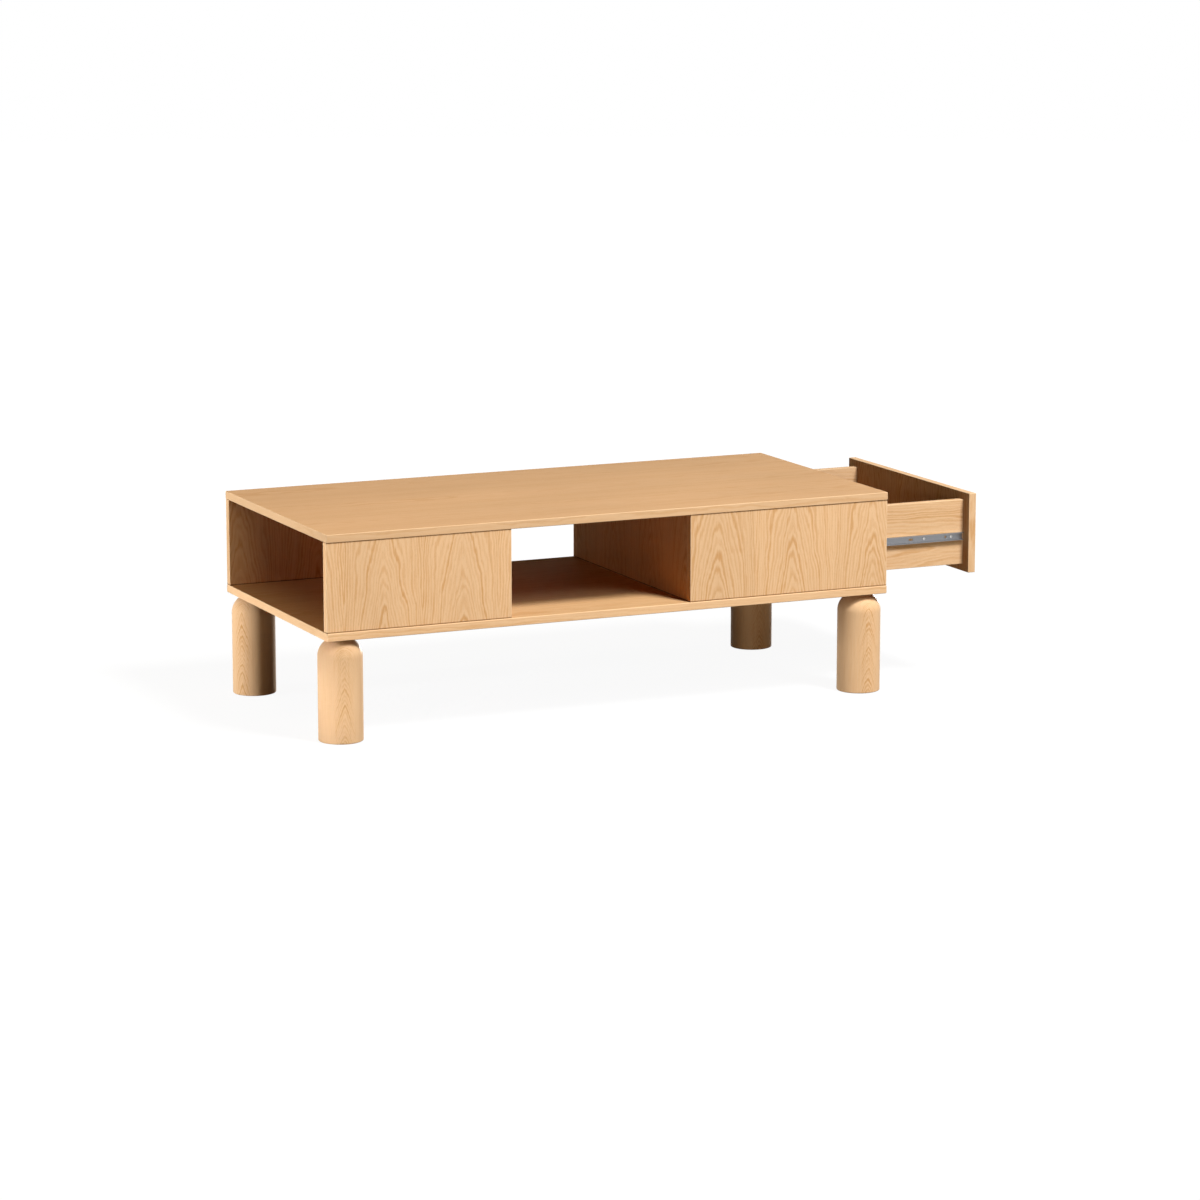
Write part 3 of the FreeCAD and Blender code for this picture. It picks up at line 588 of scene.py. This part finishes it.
def solidsOf(nodeName):  # the separate solids of a piece, each as its points
    work = bmesh.new()
    work.from_mesh(nodes[nodeName].data)
    bmesh.ops.remove_doubles(work, verts=work.verts, dist=weldDistance)
    seen = set()
    solids = []
    for start in work.verts:
        if start in seen:
            continue
        seen.add(start)
        island = [start]
        for vert in island:
            for edge in vert.link_edges:
                far = edge.other_vert(vert)
                if far not in seen:
                    seen.add(far)
                    island.append(far)
        solids.append([vert.co.copy() for vert in island])
    work.free()
    return solids


def corners(points):
    low = Vector(map(min, zip(*points)))
    high = Vector(map(max, zip(*points)))
    return low, high


def lathe(work, outline, sides):  # turns an outline of (radius, height) points round Z, closed at both ends
    rows = []
    for radius, height in outline:
        row = []
        for step in range(sides):
            angle = 2 * math.pi * step / sides
            row.append(work.verts.new((radius * math.cos(angle), radius * math.sin(angle), height)))
        rows.append(row)
    for lower, upper in zip(rows, rows[1:]):
        for step in range(sides):
            after = (step + 1) % sides
            work.faces.new((lower[step], lower[after], upper[after], upper[step]))
    work.faces.new(reversed(rows[0]))
    work.faces.new(rows[-1])


def newPiece(name, work, material, body, replaced):
    mesh = bpy.data.meshes.new(name)
    bmesh.ops.recalc_face_normals(work, faces=work.faces)
    work.to_mesh(mesh)
    work.free()
    piece = bpy.data.objects.new(name, mesh)
    scene.collection.objects.link(piece)
    mesh.materials.append(material)
    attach(piece, body)
    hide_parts(replaced)
    return piece


def smoothUnder(piece, degrees):  # smooth shading, with edges sharper than this kept
    piece.data.shade_smooth()
    piece.data.set_sharp_from_angle(angle=math.radians(degrees))


# Screws: a domed head with a cross recess, on a threaded shank with a point.
screwSets = {
    "drawer_rail_screws": {"piece": "rail_screws_on_drawer", "body": "drawer"},
    "cabinet_rail_screws": {"piece": "rail_screws_on_battens", "body": "carcass"},
    "batten_screws": {"piece": "screws_through_battens", "body": "carcass"},
    "push_latch_screws": {"piece": "screws_of_latch", "body": "carcass"},
}
screwShape = {
    "sides": 28,
    "domeSteps": 5,
    "rimShare": 0.35,  # the head's straight rim, of its height
    "crossReach": 0.52,  # of the head's radius
    "crossWidth": 0.17,
    "crossDepth": 0.75,  # of the head's height
    "pitch": 0.0013,
    "threadDepth": 0.16,  # of the shank's radius
    "pointLength": 1.6,  # in shank radii
    "tip": 0.08,  # how wide the ends are left, of their radius
    "wideFrom": 0.9,  # of the head's radius: what lies outside it is head
    "thinTo": 0.8,  # and what lies inside it is shank
    "axisGap": 1e-5,  # points this near the axis say nothing of a radius
    "spinFrom": 37,  # degrees, so that no two are driven home alike
    "spinStep": 53,
    "sharp": 35,
}


def screwMesh(headRadius, headHeight, shankRadius, shankLength):  # head up along Z, its seat at zero
    shape = screwShape
    grooveRadius = shankRadius * (1 - shape["threadDepth"])
    outline = [(shankRadius * shape["tip"], -shankLength)]
    height = shape["pointLength"] * shankRadius - shankLength
    threadCount = int((-height - shape["pitch"]) / shape["pitch"])
    for turn in range(threadCount):
        outline.append((grooveRadius, height + turn * shape["pitch"]))
        outline.append((shankRadius, height + (turn + 0.5) * shape["pitch"]))
    outline.append((grooveRadius, 0.0))
    outline.append((headRadius, 0.0))
    rim = headHeight * shape["rimShare"]
    for step in range(shape["domeSteps"]):
        angle = step / shape["domeSteps"] * math.pi / 2
        outline.append((headRadius * math.cos(angle), rim + (headHeight - rim) * math.sin(angle)))
    outline.append((headRadius * shape["tip"], headHeight))
    body = bmesh.new()
    lathe(body, outline, shape["sides"])
    bmesh.ops.recalc_face_normals(body, faces=body.faces)
    screwBody = meshObject("screw_body", body)
    cutter = bmesh.new()
    armSize = shape["crossReach"], shape["crossWidth"]
    for across, up in (armSize, armSize[::-1]):
        arm = bmesh.ops.create_cube(cutter, size=1.0)["verts"]
        reach = Vector((2 * across * headRadius, 2 * up * headRadius, 2 * shape["crossDepth"] * headHeight))
        bmesh.ops.scale(cutter, vec=reach, verts=arm)
        bmesh.ops.translate(cutter, vec=(0, 0, headHeight), verts=arm)
    cross = meshObject("screw_cross", cutter)
    recess = screwBody.modifiers.new("recess", "BOOLEAN")
    recess.object = cross
    recess.operation = "DIFFERENCE"
    recess.solver = "EXACT"
    recess.use_self = True
    mesh = bpy.data.meshes.new_from_object(screwBody.evaluated_get(bpy.context.evaluated_depsgraph_get()))
    for used in (screwBody, cross):
        bpy.data.objects.remove(used)
    return mesh


def meshObject(name, work):
    mesh = bpy.data.meshes.new(name)
    work.to_mesh(mesh)
    work.free()
    made = bpy.data.objects.new(name, mesh)
    scene.collection.objects.link(made)
    return made


def screwPlaces(nodeName):  # for each screw: where its head sits, which way it points, and its sizes
    places = []
    for points in solidsOf(nodeName):
        low, high = corners(points)
        spread = high - low
        axis = max(range(3), key=lambda number: spread[number])
        flat = [number for number in range(3) if number != axis]
        middle = (low + high) / 2
        headRadius = max(spread[number] for number in flat) / 2

        def radius(point):
            return math.hypot(*(point[number] - middle[number] for number in flat))

        headFrom, shankTo = headRadius * screwShape["wideFrom"], headRadius * screwShape["thinTo"]
        wide = [point[axis] for point in points if radius(point) > headFrom]
        thin = [radius(point) for point in points if screwShape["axisGap"] < radius(point) < shankTo]
        towards = 1 if sum(wide) / len(wide) > middle[axis] else -1
        headHeight = max(wide) - min(wide)
        seat = middle.copy()
        seat[axis] = min(wide) if towards > 0 else max(wide)
        pointing = Vector((0, 0, 0))
        pointing[axis] = towards
        places.append((seat, pointing, headRadius, headHeight, max(thin), spread[axis] - headHeight))
    return places


def screwSet(nodeName, look):
    places = screwPlaces(nodeName)
    pattern = screwMesh(*places[0][2:])
    joined = bmesh.new()
    for number, (seat, pointing) in enumerate(place[:2] for place in places):
        degrees = screwShape["spinFrom"] + screwShape["spinStep"] * number
        spin = Matrix.Rotation(math.radians(degrees), 4, "Z")
        turn = pointing.to_track_quat("Z", "Y").to_matrix().to_4x4()
        placed = pattern.copy()
        placed.transform(Matrix.Translation(seat) @ turn @ spin)
        joined.from_mesh(placed)
        bpy.data.meshes.remove(placed)
    piece = newPiece(look["piece"], joined, plating["zinc_plate"], look["body"], nodeName)
    smoothUnder(piece, screwShape["sharp"])
    return len(places)


for nodeName, look in screwSets.items():
    print("screws driven:", look["piece"], screwSet(nodeName, look))

# The latch's coil spring, wound where its sleeve stands.
spring = {
    "turns": 7.5,
    "wire": 0.0009,
    "sides": 10,
    "stepsPerTurn": 24,
    "sharp": 40,
    "joint": "plunger_press",
}


def coilSpring():
    low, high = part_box("push_latch_spring")
    middle = (low + high) / 2
    wire = spring["wire"] / 2
    radius = (high.y - low.y) / 2 - wire
    steps = int(spring["turns"] * spring["stepsPerTurn"])
    work = bmesh.new()
    rows = []
    for step in range(steps + 1):
        share = step / steps
        angle = 2 * math.pi * spring["turns"] * share
        outward = Vector((0, math.cos(angle), math.sin(angle)))
        along = low.x + wire + (high.x - low.x - 2 * wire) * share
        centre = Vector((along, middle.y, middle.z)) + outward * radius
        row = []
        for side in range(spring["sides"]):
            around = 2 * math.pi * side / spring["sides"]
            towards = outward * math.cos(around) + Vector((math.sin(around), 0, 0))
            row.append(work.verts.new(centre + towards * wire))
        rows.append(row)
    for first, second in zip(rows, rows[1:]):
        for side in range(spring["sides"]):
            after = (side + 1) % spring["sides"]
            work.faces.new((first[side], first[after], second[after], second[side]))
    work.faces.new(rows[0])
    work.faces.new(reversed(rows[-1]))
    zinc = plating["zinc_plate"]
    piece = newPiece("latch_coil_spring", work, zinc, "carcass", "push_latch_spring")
    smoothUnder(piece, spring["sharp"])
    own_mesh(piece)


coilSpring()
print("spring wound")

# Felt under the legs: pressed discs with soft, uneven edges.
felt = {
    "tone": (0.075, 0.052, 0.038, 1),
    "bright": (0.190, 0.150, 0.118, 1),
    "sides": 96,
    "edge": 0.0009,
    "edgeSteps": 4,
    "middle": 0.02,  # how wide the disc's middle is left, of its radius
    "fray": 0.00022,
    "frayAround": 14,  # waves of the frayed rim, round it and up it
    "frayUp": 900,
    "sharp": 60,
    "hair": 0.0007,
    "hairDetail": 4.0,
    "hairCoarse": 0.7,
    "hairShare": 0.7,
    "hairDepth": 0.0004,
    "hairStrength": 0.6,
    "cloud": 12,  # in hairs
    "cloudShare": 0.3,
    "roughness": 0.95,
    "sheen": 0.3,
}


def feltPads():
    material, flow = newFinish("brown_felt")
    spot = ownSpot(flow)
    hair = mottle(spot, felt["hair"], felt["hairDetail"], felt["hairCoarse"])
    cloud = mottle(spot, felt["hair"] * felt["cloud"])
    share = hair * felt["hairShare"] + cloud * felt["cloudShare"]
    surface(flow, {
        "Base Color": blended(share, felt["tone"], felt["bright"]),
        "Roughness": felt["roughness"],
        "Normal": bumped(hair, felt["hairStrength"], felt["hairDepth"]),
        "Sheen Weight": felt["sheen"],
    })
    joined = bmesh.new()
    for points in solidsOf("foot_pads"):
        low, high = corners(points)
        middle = (low + high) / 2
        radius = (high.x - low.x) / 2
        edge = felt["edge"]
        outline = [(radius * felt["middle"], low.z), (radius - edge, low.z)]
        for step in range(1, felt["edgeSteps"]):
            angle = step / felt["edgeSteps"] * math.pi / 2
            outline.append((radius - edge + edge * math.sin(angle), low.z + edge * (1 - math.cos(angle))))
        outline += [(radius, low.z + edge), (radius, high.z - edge / 2), (radius - edge / 2, high.z)]
        outline.append((radius * felt["middle"], high.z))
        disc = bmesh.new()
        lathe(disc, outline, felt["sides"])
        for vert in disc.verts:
            if low.z < vert.co.z < high.z:  # only the rim frays, so that the pad stands and seats flat
                rim = vert.co.xy.normalized()
                wavePlace = Vector((*(rim * felt["frayAround"]), vert.co.z * felt["frayUp"] + middle.x))
                wave = noise.noise(wavePlace)
                vert.co.xy -= rim * felt["fray"] * (1 + wave)
        bmesh.ops.translate(disc, vec=(middle.x, middle.y, 0), verts=disc.verts)
        placed = bpy.data.meshes.new("felt_disc")
        disc.to_mesh(placed)
        disc.free()
        joined.from_mesh(placed)
        bpy.data.meshes.remove(placed)
    piece = newPiece("felt_under_legs", joined, material, "carcass", "foot_pads")
    smoothUnder(piece, felt["sharp"])


feltPads()
print("felt laid")

# Studio: a white ground that keeps the table's shadow, and lamps. Place is where a lamp hangs, aim where it
# looks. Spread is the width of its beam in degrees.
studio = {
    "ground": 14.0,
    "groundSides": 96,
    "paper": (0.95, 0.95, 0.95, 1),
    "white": (1, 1, 1, 1),
    "groundBounce": (0.15, 0.135, 0.11, 1),  # what the ground gives back to the table
    "glow": 1.04,
    "shadowShare": 0.10,  # how much of the shadow shows on the ground
    "fadeFrom": 1.0,
    "fadeTo": 2.4,
    "ambient": 0.012,
    "ambientColour": (1.0, 0.66, 0.34, 1),
    "middle": (0.05, 0.0, 0.25),  # of the table, where most lamps look
    "openBeam": 180,
}
lamps = {
    "main": {"place": (1.40, -3.35, 5.04), "size": (1.3, 1.3), "watts": 358},
    "soft": {"place": (1.82, -4.38, 3.94), "size": (1.5, 1.5), "watts": 60},
    "low": {"place": (-0.99, -5.89, 0.77), "size": (0.9, 0.5), "watts": 39, "colour": (1.0, 0.82, 0.58)},
    "left": {"place": (-2.20, 0.24, 0.27), "aim": (-0.6, 0.1, 0.25), "size": (0.15, 0.2), "watts": 23},
    "above": {"place": (-1.00, -0.15, 1.55), "aim": (-0.58, 0.0, 0.22), "size": (0.4, 0.8), "watts": 2.6,
              "colour": (1.0, 0.78, 0.50)},
    "leg": {"place": (-1.618, -1.230, 0.458), "aim": (-0.559, -0.2415, 0.07), "size": (0.14, 0.17),
            "watts": 0.047, "spread": 8},
    "back": {"place": (4.30, 4.24, 0.19), "size": (2.0, 0.2), "watts": 250},
}


def seenRay(flow):  # 1 where the camera, a reflection or glass sees the ground or the sky
    path = flow.node("LightPath")
    either = flow.maths("MAXIMUM", path.pick("Is Camera Ray"), path.pick("Is Glossy Ray"))
    return flow.maths("MAXIMUM", either, path.pick("Is Transmission Ray"))


def ground():
    work = bmesh.new()
    bmesh.ops.create_circle(work, cap_ends=True, segments=studio["groundSides"], radius=studio["ground"])
    plane = meshObject("ground", work)
    material, flow = newFinish("white_ground")
    place = ownPlace(flow)
    away = flow.maths("SQRT", place * place + place.pick(1) * place.pick(1))
    shadow = (1 - ramped(away, studio["fadeFrom"], studio["fadeTo"])) * studio["shadowShare"]
    paper = flow.node("BsdfDiffuse", None, {"Color": studio["paper"]})
    glow = flow.node("Emission", None, {"Color": studio["white"], "Strength": studio["glow"]})
    bounce = flow.node("BsdfDiffuse", None, {"Color": studio["groundBounce"]})
    shown = flow.node("MixShader", None, {0: shadow, 1: glow, 2: paper})
    mixed = flow.node("MixShader", None, {0: seenRay(flow), 1: bounce, 2: shown})
    flow.node("OutputMaterial", None, {"Surface": mixed})
    plane.data.materials.append(material)


def sky():
    world = bpy.data.worlds.new("white_room")
    scene.world = world
    world.use_nodes = True
    world.node_tree.nodes.clear()
    flow = Flow(world.node_tree)
    white = flow.node("Background", None, {"Color": studio["white"], "Strength": 1.0})
    dim = flow.node("Background", None, {"Color": studio["ambientColour"], "Strength": studio["ambient"]})
    mixed = flow.node("MixShader", None, {0: seenRay(flow), 1: dim, 2: white})
    flow.node("OutputWorld", None, {"Surface": mixed})


def hang(name, look):
    lamp = bpy.data.lights.new(name + "_lamp", "AREA")
    lamp.shape = "RECTANGLE"
    lamp.size, lamp.size_y = look["size"]
    lamp.energy = look["watts"]
    lamp.spread = math.radians(look.get("spread", studio["openBeam"]))
    lamp.color = look.get("colour", studio["white"][:3])
    holder = bpy.data.objects.new(lamp.name, lamp)
    scene.collection.objects.link(holder)
    holder.location = look["place"]
    holder.rotation_mode = "QUATERNION"
    aim = Vector(look.get("aim", studio["middle"]))
    holder.rotation_quaternion = (holder.location - aim).to_track_quat("Z", "Y")


ground()
sky()
for name, look in lamps.items():
    hang(name, look)
print("studio lit:", ", ".join(lamps))


def camera():
    eye = bpy.data.cameras.new("camera")
    eye.lens = cameraLook["lens"]
    eye.sensor_width = cameraLook["sensor"]
    eye.clip_end = cameraLook["farthest"]
    holder = bpy.data.objects.new("camera", eye)
    scene.collection.objects.link(holder)
    turn, drop = math.radians(cameraLook["azimuth"]), math.radians(cameraLook["pitch"])
    ahead = Vector((math.sin(turn) * math.cos(drop), math.cos(turn) * math.cos(drop), -math.sin(drop)))
    holder.location = cameraLook["place"]
    holder.rotation_mode = "QUATERNION"
    holder.rotation_quaternion = ahead.to_track_quat("-Z", "Y")
    scene.camera = holder


camera()
scene.view_settings.view_transform = "Standard"
print("camera set")
